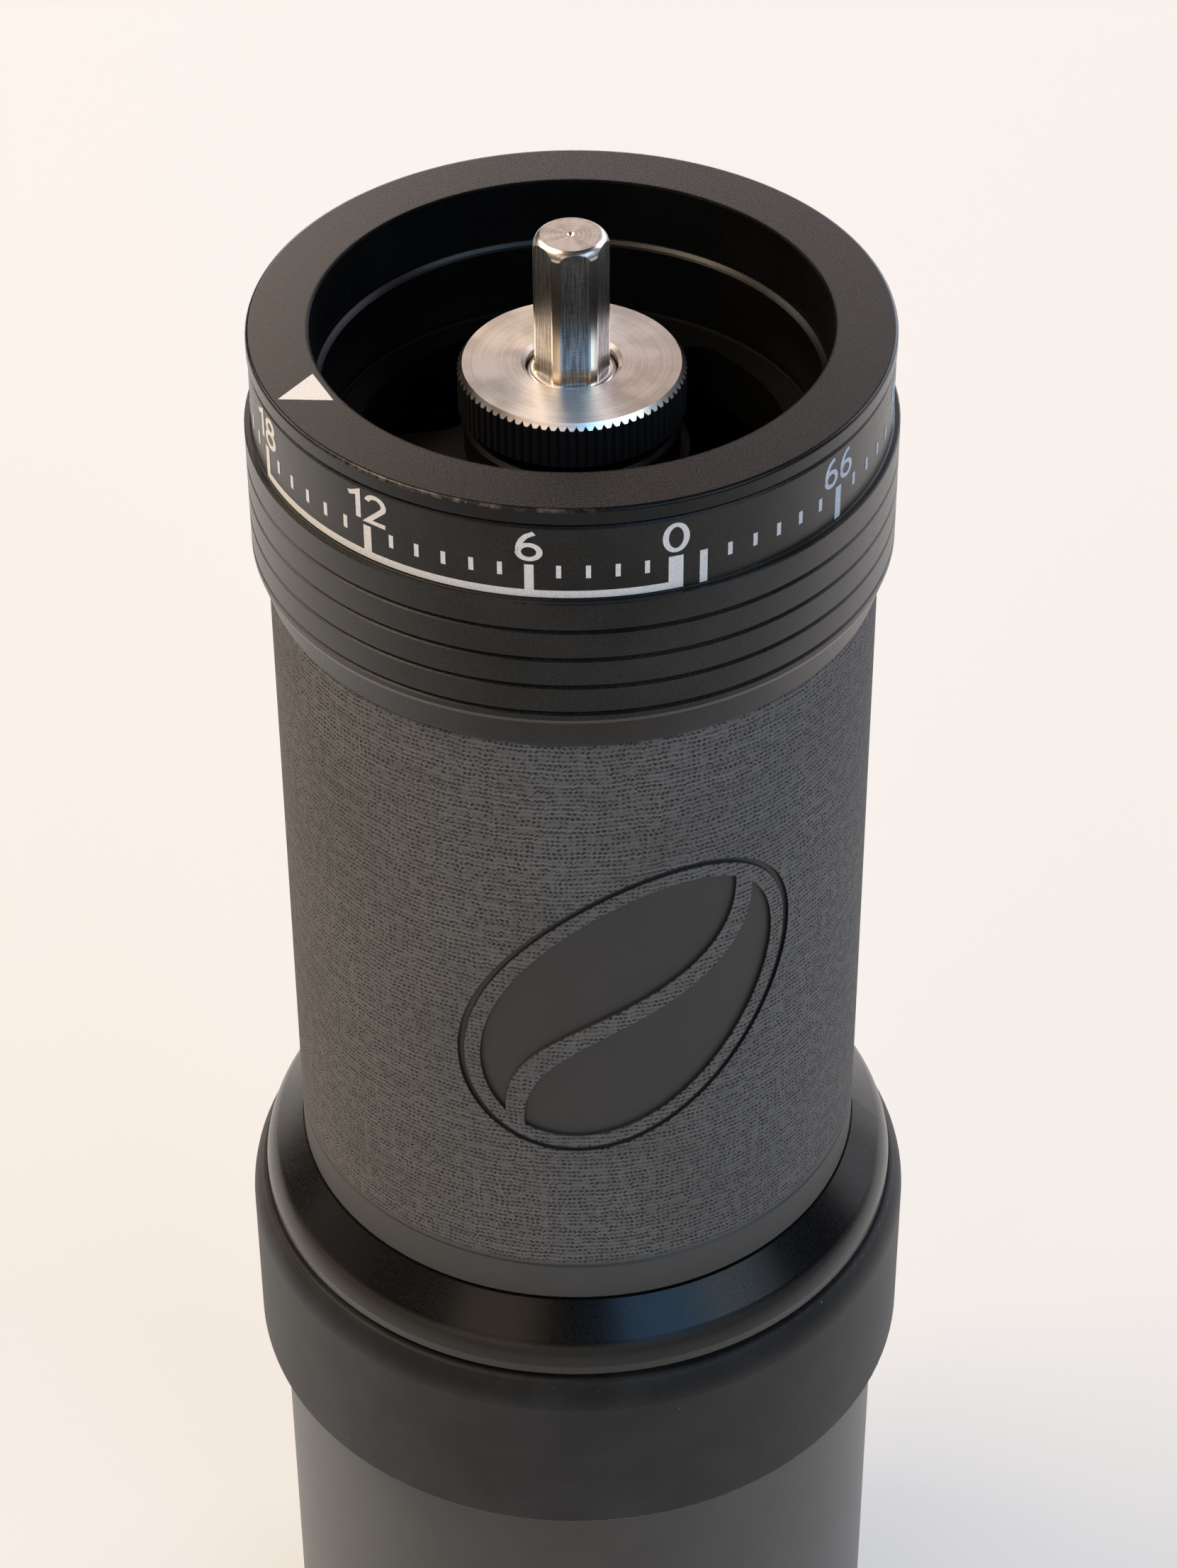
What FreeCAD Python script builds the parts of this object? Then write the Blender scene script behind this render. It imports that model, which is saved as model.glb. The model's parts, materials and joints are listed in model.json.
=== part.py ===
import FreeCAD, Part
import math
import os

# Hand coffee grinder with an external adjusting dial, standing on its catch cup, lid and crank off.
# Millimetres. +Z is up along the shaft. The origin is the centre of the foot pad's underside.
# The front faces -Y, and azimuths are measured from the front towards +X.

# ---- driving dimensions: overall heights and outer radii ----
RIM_TOP_Z = 176.0
SHAFT_TOP_Z = RIM_TOP_Z + 8.45
RIM_R = 28.0
MOUTH_R = 22.55
BAND_R = 27.9
GRIP_R = 28.55
DIAL_FOOT_R = 27.4
SLEEVE_R = 27.25
COLLAR_R = 31.2
COLLAR_CREST_R = 30.1
CUP_R = 30.5
CUP_BAND_R = 32.7

# ---- levels, from the foot up ----
PAD_TOP_Z = 1.8
CUP_FOOT_Z = 0.5
CUP_FLOOR_Z = 4.0
CUP_BAND_Z = 57.3
BURR_FOOT_Z = 60.0
CATCH_RING_Z = 66.5
BARREL_FOOT_Z = 74.0
CUP_MOUTH_Z = 76.7
COLLAR_TOP_Z = 83.4
FRAME_FOOT_Z = 80.0
FRAME_TOP_Z = 90.0
SLEEVE_TOP_Z = RIM_TOP_Z - 25.0
DIAL_FOOT_Z = RIM_TOP_Z - 24.9
SHOULDER_Z = RIM_TOP_Z - 20.4
CARRIER_TOP_Z = RIM_TOP_Z - 12.9
HUB_TOP_Z = RIM_TOP_Z - 10.0
NUT_FOOT_Z = RIM_TOP_Z - 8.9
NUT_TOP_Z = RIM_TOP_Z - 4.3
RIM_SKIRT_Z = RIM_TOP_Z - 6.0
DIAL_TOP_Z = RIM_TOP_Z - 1.85
NECK_TOP_Z = RIM_TOP_Z - 2.0

# ---- inner radii ----
CUP_BORE_R = 28.6
CUP_MOUTH_R = 29.5
BARREL_R = 25.6
BARREL_BORE_R = 22.4
HOPPER_R = 21.9
NECK_R = 25.0
NECK_TIP_R = 24.6
SKIRT_R = 23.6
DIAL_CAVITY_R = 26.4
OUTER_BURR_R = 24.0
FRAME_R = 23.3
HUB_R = 9.5

# ---- shaft, bearings and nut ----
SHAFT_R = 4.0
HEX_FLATS = 6.0
HEX_CORNER_R = 3.28
HEX_AZIMUTH = -24.0
BURR_HEX_FLATS = 7.0
BEARING_R = 8.0
BEARING_WIDTH = 5.0
BALL_R = 1.0
BALL_PITCH_R = 6.0
BALL_COUNT = 11
RACE_GROOVE_R = BALL_R + 0.04
INNER_RACE_R = 5.3
OUTER_RACE_R = 6.7
UPPER_BEARING_Z = RIM_TOP_Z - 16.0
LOWER_BEARING_Z = 84.0
NUT_R = 9.95
NUT_FACE_R = 9.52
NUT_MOUTH_R = 4.4
KNURL_COUNT = 78

# ---- burrs ----
INNER_BURR_TOP_Z = 75.5
INNER_BURR_R = 20.0
BURR_GAP = 0.25
FINE_TEETH = 36
FEED_FLUTES = 7

# ---- fits and repeats ----
RUNNING_GAP = 0.05
SLIDING_GAP = 0.1
SPIGOT_R = CUP_MOUTH_R - SLIDING_GAP
SPIGOT_Z = CATCH_RING_Z + 1.1
MAGNET_R = 1.5
MAGNET_PITCH_R = 27.35
MAGNET_COUNT = 6
GRUB_R = 1.5
GRUB_Z = 71.0
ARM_AZIMUTHS = (40.0, 160.0, 280.0)
ARM_WIDTH = 8.0
CLICKS = 72
CLICK_DEPTH = 0.3
PIN_R = 1.5
PIN_Z = RIM_TOP_Z - 15.4
DETENT_Z = RIM_TOP_Z - 22.7
DETENT_AZIMUTHS = {"left": 270.0, "right": 90.0}
DETENT_R = 1.0
DETENT_SEAT_R = 22.7
DISC_COUNT = 6
DISC_WALL = 0.2
DISC_OUTER_R = 0.85
DISC_WAIST_R = 0.6
POINTER_AZIMUTH = -64.2

# ---- coffee bean sunk into the sleeve ----
MARK_AZIMUTH = 10.5
MARK_Z = 119.5
MARK_TILT = 38.0
MARK_DEPTH = 0.35
BEAN_HALF_TALL = 16.5
BEAN_HALF_WIDE = 11.0
BEAN_SEAM = 1.0
BEAN_BOW = 3.0
OUTLINE_GAP = 1.3
OUTLINE_WIDE = 0.6

UP = FreeCAD.Vector(0, 0, 1)
ORIGIN = FreeCAD.Vector(0, 0, 0)


# ---- geometry helpers ----
def point(radius, z, azimuth=90.0):
    """A point at an azimuth from the front (-Y) towards +X."""
    angle = math.radians(azimuth)
    return FreeCAD.Vector(radius * math.sin(angle), -radius * math.cos(angle), z)


def turned(outline):
    """Solid of revolution about Z. A pair is a corner (r, z); four numbers are an arc's middle and end."""
    corners = list(outline)
    here = point(*corners[0])
    start = here
    edges = []
    for corner in corners[1:]:
        there = point(*corner[-2:])
        if len(corner) == 4:
            edges.append(Part.Arc(here, point(*corner[:2]), there).toShape())
        else:
            edges.append(Part.LineSegment(here, there).toShape())
        here = there
    if here.distanceToPoint(start) > 1e-6:
        edges.append(Part.LineSegment(here, start).toShape())
    face = Part.Face(Part.Wire(edges))
    return face.revolve(ORIGIN, UP, 360)


def tube(outer, inner, low, high, bevel=0.0):
    """Plain ring, its four edges bevelled if asked."""
    if not bevel:
        return turned([(inner, low), (outer, low), (outer, high), (inner, high)])
    return turned([(inner + bevel, low), (outer - bevel, low), (outer, low + bevel),
                   (outer, high - bevel), (outer - bevel, high), (inner + bevel, high),
                   (inner, high - bevel), (inner, low + bevel)])


def spun(shape, azimuth):
    """Copy turned from the front towards +X."""
    copy = shape.copy()
    copy.rotate(ORIGIN, UP, azimuth)
    return copy


def ring_of(shape, count, first=0.0):
    """Equally spaced copies about Z."""
    return [spun(shape, first + 360.0 * turn / count) for turn in range(count)]


def rod(radius, near, far, z, azimuth):
    """Radial cylinder between two distances from the axis."""
    start = point(near, z, azimuth)
    return Part.makeCylinder(radius, far - near, start, point(1, 0, azimuth))


def hex_prism(flats, low, high, azimuth=0.0):
    """Hexagonal bar on the axis with one corner at the given azimuth."""
    corner = flats / math.sqrt(3)
    wire = Part.makePolygon([point(corner, low, azimuth + 60 * side) for side in range(7)])
    return Part.Face(wire).extrude(FreeCAD.Vector(0, 0, high - low))


def wedge(start, end, width, depth_in, outwards=1.0):
    """V-shaped cutter along a line near the axis, its point depth_in towards (or away from) the axis."""
    along = end.sub(start)
    radial = FreeCAD.Vector(start.x, start.y, 0).normalize()
    side = along.cross(radial).normalize()
    facing = side.cross(along).normalize().multiply(outwards)
    if facing.dot(radial) * outwards < 0:
        facing = facing.negative()
    lift = FreeCAD.Vector(facing).multiply(depth_in)
    half = FreeCAD.Vector(side).multiply(width)
    tip = start.sub(lift)
    left = start.add(lift).add(half)
    right = start.add(lift).sub(half)
    return Part.Face(Part.makePolygon([tip, left, right, tip])).extrude(along)


def drilled(shape, tools):
    """Shape with every tool cut away."""
    return shape.cut(Part.makeCompound(tools))


# ---- catch cup ----
def base_pad():
    return turned([(0, 0), (23.7, 0), (24, 0.3), (24, PAD_TOP_Z), (0, PAD_TOP_Z)])


def catch_cup():
    pocket = 24.05
    round_r = 3.0
    sag = round_r * (1 - math.sqrt(0.5))
    return turned([(0, PAD_TOP_Z), (pocket, PAD_TOP_Z), (pocket, CUP_FOOT_Z), (CUP_R - 1, CUP_FOOT_Z),
                   (CUP_R - 0.29, CUP_FOOT_Z + 0.29, CUP_R, CUP_FOOT_Z + 1),
                   (CUP_R, CUP_MOUTH_Z - 0.3), (CUP_R - 0.3, CUP_MOUTH_Z), (CUP_MOUTH_R + 0.2, CUP_MOUTH_Z),
                   (CUP_MOUTH_R, CUP_MOUTH_Z - 0.2), (CUP_MOUTH_R, CATCH_RING_Z), (CUP_BORE_R, CATCH_RING_Z),
                   (CUP_BORE_R, CUP_FLOOR_Z + round_r),
                   (CUP_BORE_R - sag, CUP_FLOOR_Z + sag, CUP_BORE_R - round_r, CUP_FLOOR_Z),
                   (0, CUP_FLOOR_Z)])


def cup_grip_band():
    top = CUP_MOUTH_Z
    return turned([(CUP_R, CUP_BAND_Z), (CUP_BAND_R - 0.6, CUP_BAND_Z),
                   (CUP_BAND_R - 0.18, CUP_BAND_Z + 0.18, CUP_BAND_R, CUP_BAND_Z + 0.6),
                   (CUP_BAND_R, top - 3.0), (CUP_BAND_R - 0.25, top - 1.6, CUP_BAND_R - 0.9, top - 0.4),
                   (CUP_BAND_R - 1.15, top - 0.08, CUP_BAND_R - 1.5, top), (CUP_R, top)])


def cup_catch_ring():
    return tube(CUP_MOUTH_R - RUNNING_GAP, 25.9, CATCH_RING_Z, CATCH_RING_Z + 1.0, 0.2)


# ---- lower collar and its fittings ----
def collar_magnets():
    one = Part.makeCylinder(MAGNET_R, 2.5, point(MAGNET_PITCH_R, SPIGOT_Z, 0))
    return Part.makeCompound(ring_of(one, MAGNET_COUNT, 10))


def burr_set_screws():
    screw = rod(GRUB_R, OUTER_BURR_R + RUNNING_GAP, 28.4, GRUB_Z, 0)
    socket = rod(0.8, 26.9, 28.5, GRUB_Z, 0)
    return Part.makeCompound(ring_of(screw.cut(socket), 3, 30))


def lower_collar():
    lip_z = BURR_FOOT_Z - 1.5
    under = CUP_MOUTH_Z + 0.4
    crest_z = RIM_TOP_Z - 95.5
    ring = turned([(22.6, lip_z), (BARREL_R - 0.5, lip_z), (BARREL_R, lip_z + 0.5), (BARREL_R, SPIGOT_Z),
                   (SPIGOT_R - 0.4, SPIGOT_Z), (SPIGOT_R, SPIGOT_Z + 0.4), (SPIGOT_R, under),
                   (COLLAR_R - 0.2, under), (COLLAR_R, under + 0.2), (COLLAR_R, under + 1.1),
                   (COLLAR_R - 0.4, under + 2.4, COLLAR_CREST_R, crest_z),
                   (DIAL_FOOT_R, COLLAR_TOP_Z), (BARREL_R, COLLAR_TOP_Z),
                   (BARREL_R, BARREL_FOOT_Z), (OUTER_BURR_R + RUNNING_GAP, BARREL_FOOT_Z),
                   (OUTER_BURR_R + RUNNING_GAP, BURR_FOOT_Z), (22.6, BURR_FOOT_Z)])
    pocket = Part.makeCylinder(MAGNET_R, 2.5, point(MAGNET_PITCH_R, SPIGOT_Z, 0))
    bore = rod(GRUB_R, OUTER_BURR_R - 1, SPIGOT_R + 1, GRUB_Z, 0)
    return drilled(ring, ring_of(pocket, MAGNET_COUNT, 10) + ring_of(bore, 3, 30))


# ---- burrs ----
def outer_burr():
    throat = INNER_BURR_R + BURR_GAP
    ring = turned([(throat, BURR_FOOT_Z), (OUTER_BURR_R - 0.4, BURR_FOOT_Z),
                   (OUTER_BURR_R, BURR_FOOT_Z + 0.4), (OUTER_BURR_R, BARREL_FOOT_Z - 0.4),
                   (OUTER_BURR_R - 0.4, BARREL_FOOT_Z), (21.0, BARREL_FOOT_Z), (18.4, BARREL_FOOT_Z - 3.5),
                   (18.0, BARREL_FOOT_Z - 7.0), (throat, BURR_FOOT_Z + 1.6)])
    tooth = wedge(point(18.3, BARREL_FOOT_Z - 2.0, 12), point(20.2, BURR_FOOT_Z - 1.0, 0), 0.9, 0.8, -1.0)
    return drilled(ring, ring_of(tooth, FINE_TEETH))


def inner_burr():
    cone = turned([(0, BURR_FOOT_Z - 1.0), (INNER_BURR_R - 1, BURR_FOOT_Z - 1.0), (INNER_BURR_R, BURR_FOOT_Z),
                   (INNER_BURR_R, BURR_FOOT_Z + 1.5), (15.4, BURR_FOOT_Z + 7.0), (11.0, BURR_FOOT_Z + 11.0),
                   (7.5, INNER_BURR_TOP_Z), (0, INNER_BURR_TOP_Z)])
    tooth = wedge(point(14.6, BURR_FOOT_Z + 8.0, 14), point(21.1, BURR_FOOT_Z - 0.5, 0), 0.8, 0.7)
    flute = wedge(point(7.4, INNER_BURR_TOP_Z + 1.2, 40), point(18.6, BURR_FOOT_Z + 3.4, 0), 3.4, 2.6)
    bore = hex_prism(BURR_HEX_FLATS, BURR_FOOT_Z - 2, INNER_BURR_TOP_Z + 1)
    return drilled(cone, ring_of(tooth, FINE_TEETH) + ring_of(flute, FEED_FLUTES) + [bore])


def burr_washer():
    return tube(7.0, 2.6, BURR_FOOT_Z - 2.2, BURR_FOOT_Z - 1.0, 0.2)


def burr_screw():
    head_z = BURR_FOOT_Z - 2.2
    screw = turned([(0, head_z - 2.8), (3.4, head_z - 2.8), (4.6, head_z - 0.8), (4.6, head_z),
                    (2.5, head_z), (2.5, head_z + 12), (2.0, head_z + 12.5), (0, head_z + 12.5)])
    socket = hex_prism(3.0, head_z - 3, head_z - 1.2)
    return screw.cut(socket)


def burr_spacer_ring():
    return tube(FRAME_R - RUNNING_GAP, 21.0, BARREL_FOOT_Z, FRAME_FOOT_Z, 0.2)


# ---- spiders that hold the bearings ----
def window(inner, outer, azimuth, low, high):
    """Kidney-shaped opening between two arms, with rounded corners."""
    third = tube(outer, inner, low, high)
    for side in (-60.0, 60.0):
        block = Part.makeBox(2 * outer, ARM_WIDTH, high - low, FreeCAD.Vector(0, -ARM_WIDTH / 2, low))
        block.rotate(ORIGIN, UP, azimuth + side - 90)
        third = third.cut(block)
    opening = min(third.Solids, key=lambda solid: solid.CenterOfMass.distanceToPoint(
        point((inner + outer) / 2, (low + high) / 2, azimuth)))
    upright = [edge for edge in opening.Edges
               if abs(edge.BoundBox.ZLength - (high - low)) < 1e-6 and edge.BoundBox.XLength < 1e-6]
    corners = [edge for edge in upright if edge.BoundBox.YLength < 1e-6]
    return opening.makeFillet(2.2, corners)


def spider(rim_outer, rim_inner, low, high, hub_low, hub_high, seat_low, seat_high):
    """Outer rim, three arms and a bored hub, as one turned and milled piece."""
    bevel = 0.45
    plate = turned([(0, low), (rim_outer - 0.3, low), (rim_outer, low + 0.3), (rim_outer, high - bevel),
                    (rim_outer - bevel, high), (0, high)])
    hub = turned([(0, hub_low), (HUB_R - 0.3, hub_low), (HUB_R, hub_low + 0.3), (HUB_R, hub_high - 0.34),
                  (HUB_R - 0.34, hub_high), (0, hub_high)])
    seat = Part.makeCylinder(BEARING_R, seat_high - seat_low, FreeCAD.Vector(0, 0, seat_low))
    bore = Part.makeCylinder(6.4, 60, FreeCAD.Vector(0, 0, low - 20))
    windows = [window(HUB_R + 0.8, rim_inner, azimuth + 60, low - 1, high + 1) for azimuth in ARM_AZIMUTHS]
    return drilled(plate.fuse(hub).removeSplitter(), windows + [seat, bore])


def lift_pins():
    pins = [rod(PIN_R, 19.8, 26.1, PIN_Z, azimuth) for azimuth in ARM_AZIMUTHS]
    return Part.makeCompound(pins)


def bearing_carrier():
    low = RIM_TOP_Z - 18.6
    body = spider(HOPPER_R - RUNNING_GAP, 19.2, low, CARRIER_TOP_Z, low, HUB_TOP_Z, UPPER_BEARING_Z, 200)
    return drilled(body, [rod(PIN_R, 19.8, 30, PIN_Z, azimuth) for azimuth in ARM_AZIMUTHS])


def lift_ring():
    low = RIM_TOP_Z - 18.4
    ring = tube(DIAL_CAVITY_R - RUNNING_GAP, NECK_R + RUNNING_GAP, low, low + 6.0, 0.2)
    return drilled(ring, [rod(PIN_R, 20, 26.1, PIN_Z, azimuth) for azimuth in ARM_AZIMUTHS])


def lower_frame():
    return spider(FRAME_R - RUNNING_GAP, 20.4, FRAME_FOOT_Z, FRAME_TOP_Z - 3, FRAME_FOOT_Z, FRAME_TOP_Z,
                  LOWER_BEARING_Z, 200)


# ---- ball bearings ----


def ball_track(z):
    return Part.makeTorus(BALL_PITCH_R, RACE_GROOVE_R, FreeCAD.Vector(0, 0, z))


def outer_race(low):
    ring = tube(BEARING_R, OUTER_RACE_R, low, low + BEARING_WIDTH, 0.15)
    return ring.cut(ball_track(low + BEARING_WIDTH / 2))


def inner_race(low, bore):
    ring = tube(INNER_RACE_R, bore, low, low + BEARING_WIDTH, 0.15)
    return ring.cut(ball_track(low + BEARING_WIDTH / 2))


def bearing_balls(low):
    ball = Part.makeSphere(BALL_R, point(BALL_PITCH_R, low + BEARING_WIDTH / 2, 0))
    return Part.makeCompound(ring_of(ball, BALL_COUNT))


def bearing_cage(low):
    middle = low + BEARING_WIDTH / 2
    ring = tube(6.35, 5.65, middle - 1.5, middle + 1.5)
    pocket = Part.makeSphere(BALL_R + 0.05, point(BALL_PITCH_R, middle, 0))
    return drilled(ring, ring_of(pocket, BALL_COUNT))


# ---- shaft and its nut ----
def drive_shaft():
    burr_top = INNER_BURR_TOP_Z
    neck_top = RIM_TOP_Z - 4.95
    round_bar = turned([(0, burr_top), (SHAFT_R, burr_top), (SHAFT_R, neck_top - 0.6),
                        (SHAFT_R - 0.18, neck_top - 0.18, SHAFT_R - 0.6, neck_top), (0, neck_top)])
    tail = hex_prism(BURR_HEX_FLATS, BURR_FOOT_Z - 0.8, burr_top)
    head = turned([(0, neck_top - 1), (HEX_CORNER_R, neck_top - 1), (HEX_CORNER_R, SHAFT_TOP_Z - 0.95),
                   (HEX_CORNER_R - 0.14, SHAFT_TOP_Z - 0.45, HEX_CORNER_R - 0.62, SHAFT_TOP_Z),
                   (0.35, SHAFT_TOP_Z), (0, SHAFT_TOP_Z - 0.3)])
    head = head.common(hex_prism(HEX_FLATS, neck_top - 1, SHAFT_TOP_Z + 1, HEX_AZIMUTH))
    hole = Part.makeCylinder(2.5, 11, FreeCAD.Vector(0, 0, BURR_FOOT_Z - 1))
    tip = Part.makeCone(2.5, 0, 2.0, FreeCAD.Vector(0, 0, BURR_FOOT_Z + 10))
    return drilled(round_bar.fuse([tail, head]).removeSplitter(), [hole, tip])


def spacer_sleeve():
    return tube(INNER_RACE_R, SHAFT_R, UPPER_BEARING_Z + BEARING_WIDTH, NUT_FOOT_Z - 0.8)


def thrust_washer():
    return tube(7.5, SHAFT_R + RUNNING_GAP, NUT_FOOT_Z - 0.8, NUT_FOOT_Z, 0.15)


def shaft_nut():
    body = turned([(SHAFT_R + RUNNING_GAP, NUT_FOOT_Z), (NUT_R - 0.45, NUT_FOOT_Z),
                   (NUT_R, NUT_FOOT_Z + 0.35), (NUT_R, NUT_TOP_Z - 0.55), (NUT_FACE_R, NUT_TOP_Z),
                   (NUT_MOUTH_R, NUT_TOP_Z), (SHAFT_R + RUNNING_GAP, NUT_TOP_Z - 0.35)])
    groove = wedge(point(NUT_R, NUT_FOOT_Z - 1, 0), point(NUT_R, NUT_TOP_Z + 1, 0), 0.5, 0.25)
    return drilled(body, ring_of(groove, KNURL_COUNT, 2.0))


def coil(radius, wire, low, high, turns):
    """Compression spring of round wire between two levels."""
    rise = high - low - 2 * wire
    path = Part.makeHelix(rise / turns, rise, radius)
    path.translate(FreeCAD.Vector(0, 0, low + wire))
    start = path.Edges[0].valueAt(path.Edges[0].FirstParameter)
    along = path.Edges[0].tangentAt(path.Edges[0].FirstParameter)
    profile = Part.Wire(Part.makeCircle(wire, start, along))
    return Part.Wire(path.Edges).makePipeShell([profile], True, True)


def preload_spring():
    return coil(5.15, 0.5, INNER_BURR_TOP_Z, LOWER_BEARING_Z, 4)


# ---- barrel, sleeve and rim ----
def detent_pocket(azimuth):
    return rod(DETENT_R + RUNNING_GAP, DETENT_SEAT_R, BARREL_R + 1, DETENT_Z, azimuth)


def lift_slot(azimuth):
    """Upright slot in which a lift pin rides."""
    half = PIN_R + RUNNING_GAP
    low = PIN_Z - 0.95
    high = PIN_Z + 0.4
    across = HOPPER_R - 2
    slot = rod(half, across, 30, low, azimuth).fuse(rod(half, across, 30, high, azimuth))
    block = Part.makeBox(30 - across, 2 * half, high - low, FreeCAD.Vector(across, -half, low))
    block.rotate(ORIGIN, UP, azimuth - 90)
    return slot.fuse(block)


def barrel():
    ledge_z = RIM_TOP_Z - 27.0
    body = turned([(FRAME_R, BARREL_FOOT_Z), (BARREL_R, BARREL_FOOT_Z), (BARREL_R, SHOULDER_Z - 0.3),
                   (BARREL_R - 0.3, SHOULDER_Z), (NECK_R, SHOULDER_Z), (NECK_R, DIAL_TOP_Z - 2.7),
                   (NECK_TIP_R, DIAL_TOP_Z - 2.7), (NECK_TIP_R, NECK_TOP_Z - 0.2),
                   (NECK_TIP_R - 0.2, NECK_TOP_Z), (SKIRT_R, NECK_TOP_Z), (SKIRT_R, RIM_SKIRT_Z),
                   (HOPPER_R + 0.45, RIM_SKIRT_Z), (HOPPER_R, RIM_SKIRT_Z - 0.45), (HOPPER_R, ledge_z),
                   (BARREL_BORE_R, ledge_z - 1.0), (BARREL_BORE_R, FRAME_TOP_Z), (FRAME_R, FRAME_TOP_Z)])
    pockets = [detent_pocket(azimuth) for azimuth in DETENT_AZIMUTHS.values()]
    return drilled(body, pockets + [lift_slot(azimuth) for azimuth in ARM_AZIMUTHS])


def oval(grown):
    """The bean's outline, grown by some width, as an upright prism."""
    edge = Part.Ellipse(ORIGIN, BEAN_HALF_TALL + grown, BEAN_HALF_WIDE + grown)
    return Part.Face(Part.Wire(edge.toShape())).extrude(FreeCAD.Vector(0, 0, SLEEVE_R))


def bean_seam():
    """S-shaped band along the bean's length, as an upright prism."""
    end = BEAN_HALF_TALL + OUTLINE_GAP + OUTLINE_WIDE + 1
    reach = BEAN_HALF_TALL * 0.45
    middle = [FreeCAD.Vector(-end, -BEAN_BOW, 0), FreeCAD.Vector(-reach, BEAN_BOW * 0.9, 0), ORIGIN,
              FreeCAD.Vector(reach, -BEAN_BOW * 0.9, 0), FreeCAD.Vector(end, BEAN_BOW, 0)]
    shift = FreeCAD.Vector(0, BEAN_SEAM, 0)
    upper = Part.BSplineCurve()
    upper.interpolate([spot.add(shift) for spot in middle])
    lower = Part.BSplineCurve()
    lower.interpolate([spot.sub(shift) for spot in reversed(middle)])
    left = Part.LineSegment(lower.EndPoint, upper.StartPoint).toShape()
    right = Part.LineSegment(upper.EndPoint, lower.StartPoint).toShape()
    ribbon = Part.Face(Part.Wire([upper.toShape(), right, lower.toShape(), left]))
    return ribbon.extrude(FreeCAD.Vector(0, 0, SLEEVE_R))


def bean_mark():
    """Two half-ovals parted by an S-shaped seam inside a thin outline: a plain coffee bean."""
    outline = oval(OUTLINE_GAP + OUTLINE_WIDE).cut(oval(OUTLINE_GAP))
    bean = oval(0).cut(bean_seam()).fuse(outline)
    bean.rotate(ORIGIN, UP, 90 - MARK_TILT)
    bean.rotate(ORIGIN, FreeCAD.Vector(1, 0, 0), 90)
    bean.translate(FreeCAD.Vector(0, -10, MARK_Z))
    skin = tube(SLEEVE_R + 5, SLEEVE_R - MARK_DEPTH, MARK_Z - 30, MARK_Z + 30)
    return spun(bean.common(skin), MARK_AZIMUTH)


def grip_sleeve():
    hem_z = RIM_TOP_Z - 88.2
    hem = 0.2
    body = turned([(BARREL_R, COLLAR_TOP_Z), (SLEEVE_R - 0.3, COLLAR_TOP_Z), (SLEEVE_R, COLLAR_TOP_Z + 0.3),
                   (SLEEVE_R, hem_z - hem), (SLEEVE_R - hem, hem_z), (SLEEVE_R, hem_z + hem),
                   (SLEEVE_R, SLEEVE_TOP_Z - 0.2), (SLEEVE_R - 0.2, SLEEVE_TOP_Z), (BARREL_R, SLEEVE_TOP_Z)])
    return body.cut(bean_mark())


def pointer_prism(depth):
    """Triangle on the rim's face, its apex outwards."""
    base_r = 23.2
    apex_r = 27.3
    half = 2.2
    spread = math.degrees(math.atan2(half, base_r))
    reach = math.hypot(half, base_r)
    floor = RIM_TOP_Z - depth
    wire = Part.makePolygon([point(apex_r, floor, POINTER_AZIMUTH),
                             point(reach, floor, POINTER_AZIMUTH + spread),
                             point(reach, floor, POINTER_AZIMUTH - spread),
                             point(apex_r, floor, POINTER_AZIMUTH)])
    return Part.Face(wire).extrude(FreeCAD.Vector(0, 0, depth))


def top_rim():
    under = RIM_TOP_Z - 1.6
    edge = 0.35
    ring = turned([(MOUTH_R, RIM_SKIRT_Z + 0.15), (MOUTH_R + 0.15, RIM_SKIRT_Z), (SKIRT_R, RIM_SKIRT_Z),
                   (SKIRT_R, under), (RIM_R - 0.15, under), (RIM_R, under + 0.15), (RIM_R, RIM_TOP_Z - edge),
                   (RIM_R - 0.1, RIM_TOP_Z - 0.1, RIM_R - edge, RIM_TOP_Z), (MOUTH_R + 0.15, RIM_TOP_Z),
                   (MOUTH_R, RIM_TOP_Z - 0.15)])
    return ring.cut(pointer_prism(0.15))


# ---- adjusting dial and its detents ----
def grip_groove(z):
    """Corners of one V-shaped groove, from its upper edge down."""
    half = 0.24
    return [(GRIP_R, z + half), (GRIP_R - 0.36, z), (GRIP_R, z - half)]


def adjustment_dial():
    grooves = []
    for depth in (12.0, 14.9, 17.75, 20.55):
        grooves += grip_groove(RIM_TOP_Z - depth)
    band_foot = RIM_TOP_Z - 8.92
    ledge_z = band_foot - 0.2
    bore = BARREL_R + RUNNING_GAP
    body = turned([(NECK_TIP_R + RUNNING_GAP, DIAL_TOP_Z), (BAND_R - 0.2, DIAL_TOP_Z),
                   (BAND_R, DIAL_TOP_Z - 0.2), (BAND_R, band_foot),
                   (BAND_R + 0.06, band_foot - 0.14, BAND_R + 0.2, ledge_z), (GRIP_R - 0.12, ledge_z),
                   (GRIP_R, ledge_z - 0.12)] + grooves
                  + [(GRIP_R, RIM_TOP_Z - 21.3), (GRIP_R - 0.1, RIM_TOP_Z - 21.6),
                     (DIAL_FOOT_R + 0.1, DIAL_FOOT_Z + 0.25), (DIAL_FOOT_R, DIAL_FOOT_Z),
                     (bore, DIAL_FOOT_Z), (bore, SHOULDER_Z + 0.1), (DIAL_CAVITY_R, SHOULDER_Z + 0.1),
                     (DIAL_CAVITY_R, DIAL_TOP_Z - 2.65), (NECK_TIP_R + RUNNING_GAP, DIAL_TOP_Z - 2.65)])
    notch = Part.makeCylinder(0.75, 3.6, point(BARREL_R - 0.4, DETENT_Z - 1.8, 0))
    return drilled(body, ring_of(notch, CLICKS))


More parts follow.
